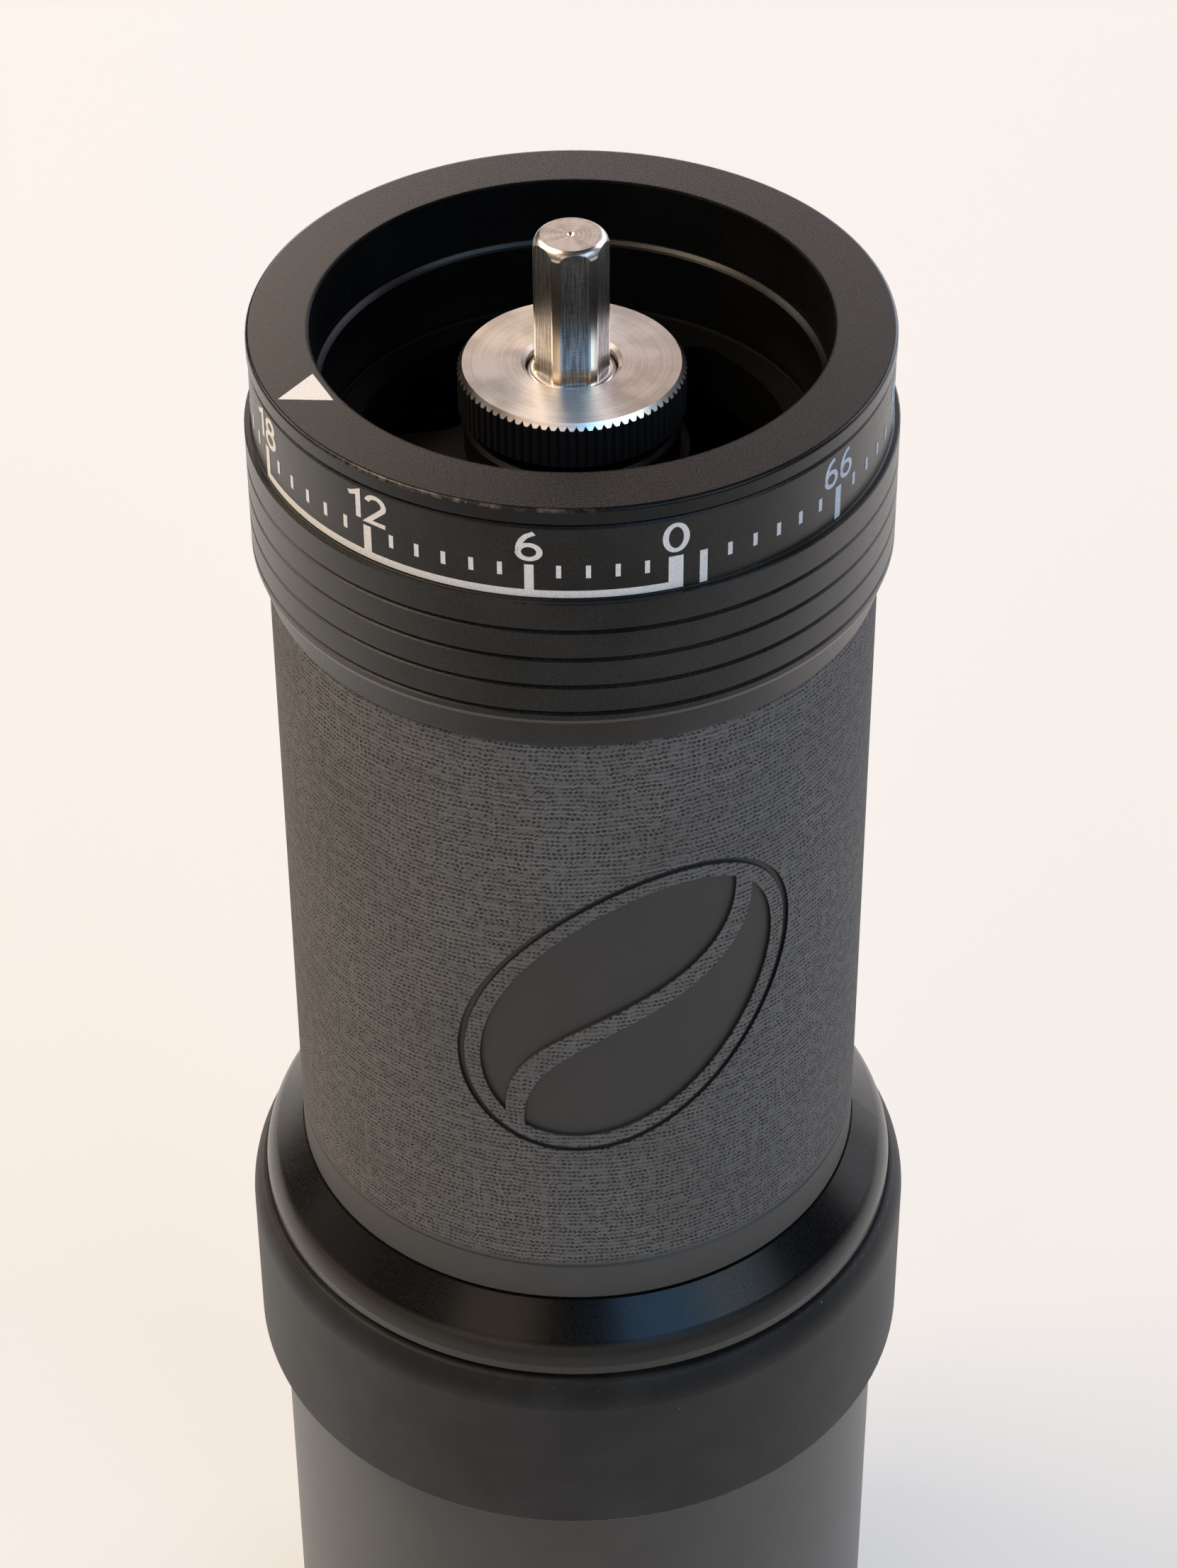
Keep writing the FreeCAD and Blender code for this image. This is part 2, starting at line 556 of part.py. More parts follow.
def dial_slip_washer():
    return tube(BAND_R - 0.35, NECK_TIP_R + SLIDING_GAP, DIAL_TOP_Z, RIM_TOP_Z - 1.6)


def detent_ball(azimuth):
    return Part.makeSphere(DETENT_R, point(BARREL_R - DETENT_R, DETENT_Z, azimuth))


def detent_spring(azimuth):
    """Stack of disc springs behind a detent ball, drawn as one bellows."""
    step = (BARREL_R - 2 * DETENT_R - DETENT_SEAT_R) / DISC_COUNT
    outside = [((DISC_OUTER_R, DISC_WAIST_R)[level % 2], level * step) for level in range(DISC_COUNT + 1)]
    inside = [(radius - DISC_WALL, z) for radius, z in reversed(outside)]
    spring = turned(outside + inside)
    spring.rotate(ORIGIN, FreeCAD.Vector(1, 0, 0), 90)
    spring.translate(FreeCAD.Vector(0, -DETENT_SEAT_R, DETENT_Z))
    return spun(spring, azimuth)


SUB_PARTS = {
    "base_pad": base_pad(),
    "catch_cup": catch_cup(),
    "cup_grip_band": cup_grip_band(),
    "cup_catch_ring": cup_catch_ring(),
    "lower_collar": lower_collar(),
    "collar_magnets": collar_magnets(),
    "burr_set_screws": burr_set_screws(),
    "outer_burr": outer_burr(),
    "burr_spacer_ring": burr_spacer_ring(),
    "lower_frame": lower_frame(),
    "barrel": barrel(),
    "grip_sleeve": grip_sleeve(),
    "top_rim": top_rim(),
    "index_mark": pointer_prism(0.15),
    "adjustment_dial": adjustment_dial(),
    "dial_slip_washer": dial_slip_washer(),
    "lift_ring": lift_ring(),
    "lift_pins": lift_pins(),
    "bearing_carrier": bearing_carrier(),
    "upper_outer_race": outer_race(UPPER_BEARING_Z),
    "upper_inner_race": inner_race(UPPER_BEARING_Z, SHAFT_R),
    "upper_balls": bearing_balls(UPPER_BEARING_Z),
    "upper_cage": bearing_cage(UPPER_BEARING_Z),
    "lower_outer_race": outer_race(LOWER_BEARING_Z),
    "lower_inner_race": inner_race(LOWER_BEARING_Z, SHAFT_R + 0.02),
    "lower_balls": bearing_balls(LOWER_BEARING_Z),
    "lower_cage": bearing_cage(LOWER_BEARING_Z),
    "drive_shaft": drive_shaft(),
    "spacer_sleeve": spacer_sleeve(),
    "thrust_washer": thrust_washer(),
    "shaft_nut": shaft_nut(),
    "preload_spring": preload_spring(),
    "inner_burr": inner_burr(),
    "burr_washer": burr_washer(),
    "burr_screw": burr_screw(),
}
for side, azimuth in DETENT_AZIMUTHS.items():
    SUB_PARTS["detent_ball_" + side] = detent_ball(azimuth)
    SUB_PARTS["detent_spring_" + side] = detent_spring(azimuth)

os.makedirs("parts", exist_ok=True)
for name, shape in SUB_PARTS.items():
    shape.exportStep("parts/" + name + ".step")
    print(name, "solids", len(shape.Solids), "valid", shape.isValid(), "volume", round(shape.Volume, 1))
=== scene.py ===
import bmesh
import bpy
import json
import math
from mathutils import Matrix, Vector


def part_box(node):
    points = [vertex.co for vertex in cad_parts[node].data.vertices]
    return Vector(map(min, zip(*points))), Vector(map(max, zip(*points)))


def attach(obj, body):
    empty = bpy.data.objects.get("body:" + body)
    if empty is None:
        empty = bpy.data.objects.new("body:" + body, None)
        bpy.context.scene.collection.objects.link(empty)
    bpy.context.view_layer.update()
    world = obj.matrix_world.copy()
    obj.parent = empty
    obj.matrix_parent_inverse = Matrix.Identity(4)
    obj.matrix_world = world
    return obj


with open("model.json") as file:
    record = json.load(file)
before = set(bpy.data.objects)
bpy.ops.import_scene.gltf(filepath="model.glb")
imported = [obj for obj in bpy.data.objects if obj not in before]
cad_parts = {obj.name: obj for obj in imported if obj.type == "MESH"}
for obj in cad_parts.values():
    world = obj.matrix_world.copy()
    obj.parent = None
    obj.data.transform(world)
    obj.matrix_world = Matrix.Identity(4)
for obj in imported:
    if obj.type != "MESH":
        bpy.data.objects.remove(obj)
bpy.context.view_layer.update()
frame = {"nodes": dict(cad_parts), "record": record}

# Everything is in metres, in the row frame: +Z up along the shaft, the front at -Y.
# Azimuths are measured from the front towards +X, as in the part.
MM = 0.001
RIM_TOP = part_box("top_rim")[1].z

# places on the part in millimetres, for the materials
TOP_MM = RIM_TOP / MM
RIM_EDGE_MM = 28.0
MOUTH_MM = 22.55
DIAL_FOOT_MM = TOP_MM - 21.6
HOPPER_STEP_MM = TOP_MM - 6.0
CARRIER_TOP_MM = TOP_MM - 12.9
CARRIER_RIM_MM = 21.2
COLLAR_CREST_MM = 30.1
HEM_MM = TOP_MM - 88.2
SLEEVE_MM = 27.25
NUT_TOP_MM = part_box("shaft_nut")[1].z / MM
NUT_FACE_MM = 9.52
NUT_CHAMFER_MM = 0.55
NUT_CHAMFER_SLOPE = 0.43 / 0.55
SHAFT_TOP_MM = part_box("drive_shaft")[1].z / MM
SHAFT_CORNER_MM = 3.28
DULL_GLOSS = 0.12

# the weave: threads round the sleeve, how fast they vary in thickness along and across, in
# waves each millimetre, and how far rows, columns and both together stray, in radians
THREADS_ROUND = 350
ALONG_THREAD = 0.1
ACROSS_THREAD = 1.6
ROW_STRAY = 14.0
COLUMN_STRAY = 3.0
WARP_WANDER = 2.5
WEFT_WANDER = 3.5

# steel: how much finer its lines are along each axis
DRAWN_LINES = (0.4, 0.4, 9.0)
MACHINED_LINES = (1.5, 1.5, 5.0)
FLAT_LINES = (7.0, 7.0, 0.35)
CHATTER_LINES = (1.2, 1.2, 12.0)

# the dial's scale, in degrees and in depths below the rim's top
BAND_R = 27.9 * MM
CLICK = 5.0
START_AZIMUTH = 22.5
CLICKS = 72
ZERO_CLICK = 1
NUMBER_EVERY = 6
BRACKET_CLICKS = 18
TICK_TOP = 5.63 * MM
MINOR_FOOT = 6.88 * MM
MAJOR_FOOT = 8.18 * MM
SCALE_FOOT = 8.88 * MM
MINOR_WIDE = 0.85
MAJOR_WIDE = 1.6
START_WIDE = 1.4
ZERO_WIDE = 2.6
BEND_EVERY = 1.0
INK_PROUD = 0.03 * MM
INK_SUNK = 0.02 * MM

# its numbers: the rest is in digit heights
DIGIT_TOP = 2.3 * MM
DIGIT_HIGH = 2.95 * MM
DIGIT_STRETCH = 1.28
CONDENSED = {"66": 1.02}
STROKE = 0.135
SHARPEST_MITRE = 0.45
DIGIT_GAP = 0.11
SAME_POINT = 1e-6

# the studio
FLOOR_HALF = 3.0
PANEL_AWAY = 2.0
LIT_POINT = Vector((0, 0, 0.12))
CAMERA_PLACE = Vector((0, -0.30046, RIM_TOP + 0.19684))
CAMERA_AIM = Vector((0.00125, 0, RIM_TOP - 0.05176))
CAMERA_ROLL = -0.00498
LENS_MM = 95.67
SENSOR_MM = 36.0
CLIP_START = 0.01


# ---- materials ----
class Shader:
    """A material's node tree, with short ways to add the nodes used here."""

    def __init__(self, name, **inputs):
        self.material = bpy.data.materials.new(name)
        self.material.use_nodes = True
        self.tree = self.material.node_tree
        self.surface = self.tree.nodes["Principled BSDF"]
        self.place = self.vector("SCALE", self.add("ShaderNodeTexCoord").outputs["Object"], 1 / MM)
        split = self.add("ShaderNodeSeparateXYZ")
        self.put(split.inputs[0], self.place)
        self.x, self.y, self.z = split.outputs
        for key, value in inputs.items():
            self.feed(key.replace("_", " "), value)

    def add(self, kind, **settings):
        node = self.tree.nodes.new(kind)
        for key, value in settings.items():
            setattr(node, key, value)
        return node

    def put(self, socket, value):
        if isinstance(value, bpy.types.NodeSocket):
            self.tree.links.new(value, socket)
        elif value is not None:
            socket.default_value = value

    def feed(self, name, value):
        self.put(self.surface.inputs[name], value)

    def maths(self, operation, first, second=None, third=None):
        node = self.add("ShaderNodeMath", operation=operation)
        for socket, value in zip(node.inputs, (first, second, third)):
            self.put(socket, value)
        return node.outputs[0]

    def plus(self, first, second):
        return self.maths("ADD", first, second)

    def minus(self, first, second):
        return self.maths("SUBTRACT", first, second)

    def times(self, first, second):
        return self.maths("MULTIPLY", first, second)

    def larger(self, first, second):
        return self.maths("MAXIMUM", first, second)

    def blend(self, first, first_share, second):
        """Weighted mean of two values."""
        return self.maths("MULTIPLY_ADD", first, first_share, self.times(second, 1.0 - first_share))

    def vector(self, operation, first, second):
        node = self.add("ShaderNodeVectorMath", operation=operation)
        self.put(node.inputs[0], first)
        self.put(node.inputs["Scale" if operation == "SCALE" else 1], second)
        return node.outputs[0]

    def join(self, x, y, z):
        node = self.add("ShaderNodeCombineXYZ")
        for socket, value in zip(node.inputs, (x, y, z)):
            self.put(socket, value)
        return node.outputs[0]

    def noise(self, vector, scale, detail=2.0, roughness=0.5):
        node = self.add("ShaderNodeTexNoise")
        self.put(node.inputs["Vector"], vector)
        self.put(node.inputs["Scale"], scale)
        self.put(node.inputs["Detail"], detail)
        self.put(node.inputs["Roughness"], roughness)
        return node.outputs[0]

    def cells(self, vector, scale):
        node = self.add("ShaderNodeTexVoronoi")
        self.put(node.inputs["Vector"], vector)
        self.put(node.inputs["Scale"], scale)
        return node.outputs["Distance"]

    def between(self, value, low, high, start=0.0, end=1.0):
        """Smooth ramp of value from low to high, onto start to end."""
        node = self.add("ShaderNodeMapRange", interpolation_type="SMOOTHSTEP")
        for socket, number in zip(node.inputs, (value, low, high, start, end)):
            self.put(socket, number)
        return node.outputs[0]

    def spread(self, noise, half, start=0.0, end=1.0):
        """Noise widened, so that its middle, plus or minus half, fills start to end."""
        return self.between(noise, 0.5 - half, 0.5 + half, start, end)

    def mix(self, share, first, second):
        node = self.add("ShaderNodeMix", data_type="RGBA")
        self.put(node.inputs[0], share)
        self.put(node.inputs[6], opaque(first))
        self.put(node.inputs[7], opaque(second))
        return node.outputs[2]

    def roughen(self, height, distance_mm, strength):
        """Small bump over the whole surface."""
        node = self.add("ShaderNodeBump")
        self.put(node.inputs["Height"], height)
        self.put(node.inputs["Distance"], distance_mm * MM)
        self.put(node.inputs["Strength"], strength)
        self.feed("Normal", node.outputs[0])

    def edge_gloss(self, facing, grazing):
        """Gloss that rises towards grazing views more steeply than plain Fresnel."""
        slant = self.add("ShaderNodeLayerWeight")
        slant.inputs["Blend"].default_value = 0.5
        return self.between(slant.outputs["Facing"], 0.15, 0.85, facing, grazing)

    def radius(self):
        """Distance from the shaft's axis, in millimetres."""
        return self.maths("SQRT", self.plus(self.times(self.x, self.x), self.times(self.y, self.y)))

    def azimuth(self):
        """Angle from the front towards +X, in radians."""
        return self.maths("ARCTAN2", self.x, self.times(self.y, -1.0))


def opaque(value):
    return value if isinstance(value, bpy.types.NodeSocket) else (*value, 1.0)


def anodised(name, dark, light, roughness, grain_mm=0.008, finish=None):
    """Bead-blasted, dyed aluminium: a fine grain under a thin clear oxide."""
    shader = Shader(name)
    grain = shader.noise(shader.place, 5.5, 3.0, 0.6)
    clouds = shader.noise(shader.place, 0.12, 3.0, 0.5)
    base = shader.mix(shader.spread(shader.blend(grain, 0.6, clouds), 0.15), dark, light)
    shine = shader.edge_gloss(0.17, 0.95)
    metal = 0.0
    if finish:
        base, shine, metal = finish(shader, base, shine)
    shader.feed("Base Color", base)
    shader.feed("Roughness", shader.spread(grain, 0.2, roughness - 0.05, roughness + 0.06))
    shader.feed("Metallic", metal)
    shader.feed("Specular IOR Level", shine)
    shader.roughen(grain, grain_mm, 0.6)
    return shader.material


def rim_finish(shader, base, shine):
    """The rim: dull inside the mouth, and painted paler, browner and partly metallic along the front left of
    its outer edge, in streaks and spots.
    """
    radius = shader.radius()
    azimuth = shader.azimuth()
    outside = shader.between(radius, MOUTH_MM + 0.1, MOUTH_MM + 0.4, 0.06, 1.0)
    # the outer edge is painted paler and browner only along its front left, in streaks and spots
    edge = shader.times(shader.between(radius, RIM_EDGE_MM - 0.3, RIM_EDGE_MM - 0.14),
                        shader.between(shader.z, TOP_MM - 0.36, TOP_MM - 0.22))
    front_left = shader.times(shader.between(azimuth, -1.0, -0.6), shader.between(azimuth, 0.15, -0.1))
    pale_streaks = shader.between(shader.noise(shader.place, 0.9, 3.0, 0.6), 0.42, 0.62, 0.05, 0.5)
    pale_spots = shader.between(shader.noise(shader.place, 3.0, 3.0, 0.7), 0.64, 0.68)
    pale_edge = shader.times(shader.times(edge, front_left), shader.larger(pale_streaks, pale_spots))
    return shader.mix(pale_edge, base, (0.2, 0.175, 0.15)), shader.times(shine, outside), shader.times(pale_edge, 0.3)


def dial_finish(shader, base, shine):
    """The dial: its tapered foot is duller."""
    above_foot = shader.between(shader.z, DIAL_FOOT_MM - 0.2, DIAL_FOOT_MM, 0.3, 1.0)
    return base, shader.times(shine, above_foot), 0.0


def hopper_finish(shader, base, shine):
    """Inside the hopper, dull but for two edges with painted glints, paler and glossier: the wall's step,
    glinting only towards the back, and the carrier's rim.
    """
    # painted glints: the step glints only towards the back, where the light catches it
    glint_towards_back = shader.between(shader.maths("ABSOLUTE", shader.azimuth()), 2.3, 2.95, 0.1, 0.7)
    step = shader.times(shader.between(shader.z, HOPPER_STEP_MM - 0.32, HOPPER_STEP_MM - 0.24), glint_towards_back)
    chamfer = shader.times(shader.between(shader.z, CARRIER_TOP_MM - 0.5, CARRIER_TOP_MM - 0.42),
                           shader.between(shader.z, CARRIER_TOP_MM - 0.02, CARRIER_TOP_MM - 0.06))
    rim = shader.times(chamfer, shader.between(shader.radius(), CARRIER_RIM_MM, CARRIER_RIM_MM + 0.2))
    painted_glint = shader.larger(step, rim)
    gloss = shader.maths("MULTIPLY_ADD", painted_glint, 1.0 - DULL_GLOSS, DULL_GLOSS)
    return shader.mix(painted_glint, base, (0.012, 0.011, 0.01)), gloss, shader.times(painted_glint, 0.1)


def collar_finish(shader, base, shine):
    """The collar: the bead round its foot is painted paler than the slope, a painted highlight."""
    # painted highlight: the bead is paler
    bead = shader.between(shader.radius(), COLLAR_CREST_MM + 0.05, COLLAR_CREST_MM + 0.45)
    return shader.mix(bead, base, (0.027, 0.025, 0.022)), shine, 0.0


def linen_rubber():
    """Rubber moulded with a linen weave, smooth in the sunk mark and along the hem."""
    shader = Shader("linen_rubber")
    along = shader.times(shader.azimuth(), SLEEVE_MM)
    flat = shader.join(along, shader.z, 0.0)

    # threads of uneven thickness: each row and each column wanders by its own amount
    level = shader.join(shader.times(along, ALONG_THREAD), shader.times(shader.z, ACROSS_THREAD), 0.0)
    upward = shader.join(shader.times(along, ACROSS_THREAD), shader.times(shader.z, ALONG_THREAD), 9.0)
    rows = shader.noise(level, 1.0, 3.0, 0.65)
    columns = shader.noise(upward, 1.0, 3.0, 0.65)
    wander = shader.minus(shader.noise(flat, 0.3, 2.0), 0.5)
    radians_each_mm = THREADS_ROUND / (2 * SLEEVE_MM)
    across = shader.plus(shader.times(along, radians_each_mm),
                         shader.plus(shader.times(wander, WARP_WANDER), shader.times(rows, ROW_STRAY)))
    up = shader.plus(shader.times(shader.z, radians_each_mm),
                     shader.plus(shader.times(wander, WEFT_WANDER), shader.times(columns, COLUMN_STRAY)))
    between_warps = shader.maths("ABSOLUTE", shader.maths("SINE", across))
    between_wefts = shader.maths("ABSOLUTE", shader.maths("SINE", up))

    # pits between the threads, some of them filled, and strands that stand proud
    pit = shader.times(shader.between(between_warps, 0.35, 0.95), shader.between(between_wefts, 0.35, 0.95))
    pit = shader.times(pit, shader.spread(shader.noise(flat, 1.1, 2.0, 0.7), 0.12))
    strand = shader.times(shader.spread(rows, 0.15), shader.between(between_wefts, 0.9, 0.2))
    upright = shader.times(shader.between(columns, 0.45, 0.7), shader.between(between_warps, 0.9, 0.2))
    threads = shader.plus(shader.times(strand, 0.45), shader.maths("MULTIPLY_ADD", upright, 0.3, 0.55))
    height = shader.minus(threads, pit)

    unsunk = shader.between(shader.radius(), SLEEVE_MM - 0.25, SLEEVE_MM - 0.1)
    cloth = shader.times(unsunk, shader.between(shader.z, HEM_MM, HEM_MM + 1.2))
    woven = shader.mix(shader.between(height, -0.2, 1.1), (0.012, 0.0115, 0.011), (0.15, 0.144, 0.136))
    faded = shader.between(shader.noise(flat, 0.06, 3.0), 0.4, 0.65, 0.0, 0.2)
    woven = shader.mix(faded, woven, (0.05, 0.048, 0.045))
    smooth = shader.mix(unsunk, (0.03, 0.028, 0.026), (0.052, 0.05, 0.047))
    shader.feed("Base Color", shader.mix(cloth, smooth, woven))
    shader.feed("Roughness", shader.between(cloth, 0.0, 1.0, 0.5, 0.72))
    shader.feed("Specular IOR Level", 0.35)
    shader.roughen(shader.times(height, cloth), 0.1, 0.8)
    return shader.material


def silicone(name, base_colour, dust):
    """Matt silicone that holds a little dust."""
    shader = Shader(name)
    speck = shader.between(shader.cells(shader.place, 0.55), 0.0, 0.09, 1.0, 0.0)
    where = shader.between(shader.noise(shader.place, 0.25, 2.0), 0.5, 0.62)
    lint = shader.times(shader.times(speck, where), dust)
    bloom = shader.between(shader.noise(shader.place, 0.16, 4.0, 0.6), 0.35, 0.7)
    lighter = tuple(channel * 1.9 for channel in base_colour)
    base = shader.mix(bloom, base_colour, lighter)
    shader.feed("Base Color", shader.mix(lint, base, (0.16, 0.155, 0.15)))
    shader.feed("Roughness", 0.55)
    shader.feed("Specular IOR Level", shader.edge_gloss(0.2, 0.6))
    shader.roughen(shader.noise(shader.place, 3.0, 3.0), 0.01, 0.5)
    return shader.material


def bare_metal(name, base_colour, roughness, lines_each_way=MACHINED_LINES):
    """Bare metal with fine machining lines across the axis."""
    shader = Shader(name)
    lines = shader.noise(shader.vector("MULTIPLY", shader.place, lines_each_way), 1.0, 4.0, 0.65)
    darker = tuple(channel * 0.7 for channel in base_colour)
    shader.feed("Base Color", shader.mix(shader.spread(lines, 0.2), darker, base_colour))
    shader.feed("Metallic", 1.0)
    shader.feed("Roughness", shader.spread(lines, 0.2, roughness + 0.08, roughness - 0.05))
    shader.roughen(lines, 0.006, 0.6)
    return shader.material


def turned_sweep(shader):
    """Broad sweep of shade round a turned face."""
    azimuth = shader.azimuth()
    round_about = shader.join(shader.maths("COSINE", azimuth), shader.maths("SINE", azimuth),
                              shader.times(shader.radius(), 0.12))
    return shader.noise(round_about, 1.8, 3.0)


def turning_marks(shader, ring_share, sweep):
    """Fine circular tool marks, mixed with the sweep of shade."""
    rings = shader.noise(shader.join(shader.radius(), 0.37, 0.61), 5.0, 2.0, 0.6)
    return shader.blend(rings, ring_share, sweep)


def turned_steel():
    """The nut: a bright turned face and chamfer, and a knurled edge painted near black and not metallic,
    painted shade for the dark it reflects.
    """
    shader = Shader("turned_steel")
    radius = shader.radius()
    sweep = turned_sweep(shader)
    marks = turning_marks(shader, 0.35, sweep)
    below = shader.minus(NUT_TOP_MM, shader.z)
    cone = shader.maths("MULTIPLY_ADD", below, NUT_CHAMFER_SLOPE, NUT_FACE_MM)
    on_cone = shader.times(shader.between(shader.minus(radius, cone), -0.14, -0.1),
                           shader.between(below, NUT_CHAMFER_MM + 0.02, NUT_CHAMFER_MM - 0.02))
    face = shader.larger(on_cone, shader.between(radius, NUT_FACE_MM, NUT_FACE_MM - 0.05))
    bright = shader.mix(shader.spread(marks, 0.12), (0.52, 0.48, 0.44), (0.72, 0.67, 0.62))
    # painted shade: the knurled edge is painted near black, standing for the dark surroundings the steel
    # reflects
    shader.feed("Base Color", shader.mix(face, (0.012, 0.012, 0.012), bright))
    shader.feed("Metallic", face)
    shader.feed("Roughness", shader.spread(sweep, 0.2, 0.27, 0.35))
    shader.feed("Specular IOR Level", 0.2)
    shader.feed("Anisotropic", shader.times(face, 0.75))
    shader.feed("Tangent", shader.add("ShaderNodeTangent", direction_type="RADIAL", axis="Z").outputs[0])
    return shader.material


def ground_steel():
    """The shaft: flats ground lengthwise, the corners and the end turned; the corners are painted pale and
    warm, a painted highlight.
    """
    shader = Shader("ground_steel")
    marks = turning_marks(shader, 0.4, turned_sweep(shader))
    end = shader.between(shader.z, SHAFT_TOP_MM - 0.35, SHAFT_TOP_MM - 0.2)
    corner = shader.between(shader.radius(), SHAFT_CORNER_MM - 0.1, SHAFT_CORNER_MM - 0.03)
    lengthwise = shader.noise(shader.vector("MULTIPLY", shader.place, FLAT_LINES), 1.0, 3.0, 0.6)
    crosswise = shader.noise(shader.vector("MULTIPLY", shader.place, CHATTER_LINES), 1.0, 2.0, 0.5)
    lines = shader.blend(lengthwise, 0.75, crosswise)
    flats = shader.mix(shader.spread(lines, 0.15), (0.2, 0.195, 0.19), (0.56, 0.54, 0.52))
    # painted highlight: the turned corners are painted pale and warm
    flats = shader.mix(corner, flats, (0.8, 0.74, 0.66))
    face = shader.mix(shader.spread(marks, 0.12), (0.5, 0.46, 0.42), (0.7, 0.65, 0.6))
    shader.feed("Base Color", shader.mix(end, flats, face))
    shader.feed("Metallic", 1.0)
    shader.feed("Roughness", shader.between(shader.larger(end, corner), 0.0, 1.0, 0.4, 0.27))
    shader.roughen(shader.times(lines, shader.minus(1.0, end)), 0.004, 0.5)
    return shader.material


def white_ink():
    """Printed white, slightly uneven, and painted greyer and bluer round the right, as painted light from the
    blue window there.
    """
    shader = Shader("white_ink")
    grain = shader.noise(shader.place, 6.0, 3.0, 0.6)
    uneven = shader.spread(grain, 0.2)
    plain_white = shader.mix(uneven, (0.64, 0.62, 0.59), (0.8, 0.78, 0.75))
    window_tinted = shader.mix(uneven, (0.34, 0.38, 0.44), (0.5, 0.55, 0.62))
    # painted light: bluish grey round the right, for the blue window's light
    shader.feed("Base Color", shader.mix(shader.between(shader.azimuth(), 0.1, 1.0), plain_white, window_tinted))
    shader.feed("Roughness", 0.55)
    shader.roughen(grain, 0.01, 0.5)
    return shader.material


DYE = (0.003, 0.003, 0.003)
INK = white_ink()
NICKEL = bare_metal("nickel", (0.64, 0.63, 0.6), 0.22)
STAINLESS = bare_metal("stainless", (0.62, 0.58, 0.54), 0.26, DRAWN_LINES)
BRASS = bare_metal("brass", (0.66, 0.5, 0.24), 0.3)
# painted shade: a darker, duller copy of the black anodising, for the shaded inside of the hopper
HOPPER_SHADED = anodised("hopper_anodised_shaded", (0.002, 0.002, 0.002), (0.004, 0.004, 0.004), 0.33,
                        finish=hopper_finish)

# by the record's material slot
FINISHES = {
    "black_anodised": anodised("black_anodised", DYE, (0.007, 0.007, 0.007), 0.28),
    "cup_anodised": anodised("cup_anodised", (0.03, 0.029, 0.027), (0.045, 0.043, 0.04), 0.4),
    "sleeve_rubber": linen_rubber(),
    "band_silicone": silicone("band_silicone", (0.0095, 0.0095, 0.0095), 1.0),
    "pad_rubber": silicone("pad_rubber", (0.02, 0.02, 0.02), 0.4),
    "slip_polymer": silicone("slip_polymer", (0.008, 0.008, 0.008), 0.0),
    "plated_steel": NICKEL,
    "magnet": NICKEL,
    "black_steel": bare_metal("black_steel", (0.05, 0.05, 0.052), 0.4),
    "burr_steel": bare_metal("burr_steel", (0.5, 0.49, 0.47), 0.3),
    "white_print": INK,
    "lift_brass": BRASS,
    "cage_brass": BRASS,
    "stainless": STAINLESS,
    "turned_steel": turned_steel(),
    "bearing_steel": bare_metal("bearing_steel", (0.68, 0.68, 0.7), 0.14),
    "spring_steel": STAINLESS,
}

# nodes with a finish of their own
SPECIAL = {
    "top_rim": anodised("rim_anodised", DYE, (0.007, 0.007, 0.007), 0.27, 0.0008, rim_finish),
    "lower_collar": anodised("collar_anodised", DYE, (0.006, 0.006, 0.006), 0.25, 0.003, collar_finish),
    "adjustment_dial": anodised("dial_anodised", (0.005, 0.005, 0.0045), (0.021, 0.02, 0.018), 0.33, 0.03,
                                dial_finish),
    # the barrel and carrier take the darker copy, painted shade inside the hopper
    "barrel": HOPPER_SHADED,
    "bearing_carrier": HOPPER_SHADED,
    "drive_shaft": ground_steel(),
}

for subpart in frame["record"]["subparts"]:
    node = frame["nodes"][subpart["node"]]
    node.data.materials.clear()
    node.data.materials.append(SPECIAL.get(subpart["node"], FINISHES[subpart["material_slot"]]))


# ---- the printed scale on the dial ----
def on_band(azimuth, depth, lift):
    """A point on the number band: degrees from the front, metres below the rim, metres proud."""
    angle = math.radians(azimuth)
    radius = BAND_R + lift
    return (radius * math.sin(angle), -radius * math.cos(angle), RIM_TOP - depth)


def print_strip(vertices, faces, edges):
    """Closed thin strip between two lines of (azimuth, depth) points, one each side of a stroke."""
    first = len(vertices)
    for edge in edges:
        for lift in (INK_PROUD, -INK_SUNK):
            vertices += [on_band(azimuth, depth, lift) for azimuth, depth in edge]
    last = len(vertices) - 4
    for a in range(first, last, 4):
        b = a + 4
        faces += [
            (a, b, b + 1, a + 1),
            (a + 2, a + 3, b + 3, b + 2),
            (a, a + 2, b + 2, b),
            (a + 1, b + 1, b + 3, a + 3),
        ]
    faces += [(first, first + 1, first + 3, first + 2), (last, last + 2, last + 3, last + 1)]


def box_mark(vertices, faces, left, right, top, foot):
    """Upright or level bar, bent to the band."""
    steps = math.ceil((right - left) / BEND_EVERY)
    azimuths = [left + (right - left) * step / steps for step in range(steps + 1)]
    print_strip(vertices, faces, [((azimuth, top), (azimuth, foot)) for azimuth in azimuths])


def print_piece(name, vertices, faces):
    """Printed piece that rides on the dial, its faces turned outwards."""
    mesh = bpy.data.meshes.new(name)
    mesh.from_pydata(vertices, [], faces)
    mesh.validate()
    mesh.update()
    mesh.materials.append(INK)
    work = bmesh.new()
    work.from_mesh(mesh)
    bmesh.ops.recalc_face_normals(work, faces=work.faces)
    work.to_mesh(mesh)
    work.free()
    piece = bpy.data.objects.new(name, mesh)
    bpy.context.scene.collection.objects.link(piece)
    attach(piece, "dial")


def arc(centre_x, centre_y, radius_x, radius_y, start, end, steps=14):
    """Points on an ellipse's arc, in degrees anticlockwise from its right."""
    turn = [math.radians(start + (end - start) * step / steps) for step in range(steps + 1)]
    return [(centre_x + radius_x * math.cos(t), centre_y + radius_y * math.sin(t)) for t in turn]


